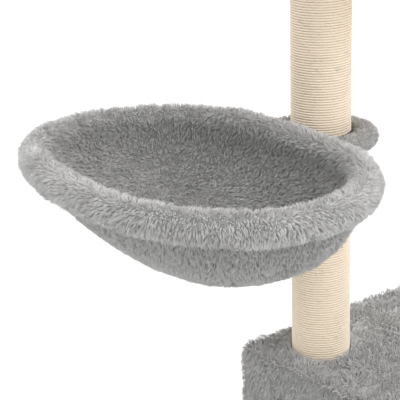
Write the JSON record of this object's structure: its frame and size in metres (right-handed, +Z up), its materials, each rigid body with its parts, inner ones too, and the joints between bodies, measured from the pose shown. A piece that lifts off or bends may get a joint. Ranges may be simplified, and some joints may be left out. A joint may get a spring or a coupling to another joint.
{
  "type": "cat tree",
  "caption": "Plush-covered cat tree: a cabin with a round door on a base board, a sisal scratching post, an oval plush bowl that swivels about the post, and a perch.",
  "frame": {"origin": "middle of the underside of the base, on the floor", "axes": "+Z up along the post; +X to the right and -Y out of the cabin's door, so the bowl is on the -X side"},
  "size_m": [0.7367, 0.4398, 0.9262],
  "materials": {
    "plush": "long-pile light grey plush",
    "sisal": "wound natural sisal rope",
    "chipboard": "raw chipboard",
    "cardboard": "spiral-wound cardboard",
    "pine": "raw pine",
    "zinc_steel": "bright zinc plate",
    "black_steel": "black powder coat",
    "nylon": "natural nylon"
  },
  "bodies": {
    "stand": {"base_board": "chipboard", "base_cover": "plush", "base_screws": "zinc_steel", "cabin_left": "chipboard", "cabin_right": "chipboard", "cabin_back": "chipboard", "cabin_front": "chipboard", "cabin_cover": "plush", "cabin_lining": "plush", "door_trim": "plush", "roof_board": "chipboard", "roof_cover": "plush", "roof_screws": "zinc_steel", "roof_washer": "zinc_steel", "roof_bolt": "zinc_steel", "lower_tube": "cardboard", "lower_rope": "sisal", "lower_plugs": "pine", "lower_inserts": "zinc_steel", "upper_tube": "cardboard", "upper_rope": "sisal", "upper_plugs": "pine", "upper_inserts": "zinc_steel", "post_stud": "zinc_steel", "swivel_washers": "nylon", "perch_board": "chipboard", "perch_cover": "plush", "perch_washer": "zinc_steel", "perch_bolt": "zinc_steel"},
    "bowl": {"rim_ring": "black_steel", "bracket_plate": "black_steel", "collar_hoop": "black_steel", "rim_roll": "plush", "bowl_outer": "plush", "bowl_lining": "plush", "collar_cover": "plush"}
  },
  "joints": [
    {"name": "bowl_swivel", "type": "hinge", "parent": "stand", "child": "bowl", "pos_m": [-0.051, 0.046, 0.6], "axis": [0, 0, 1], "continuous": true}
  ]
}
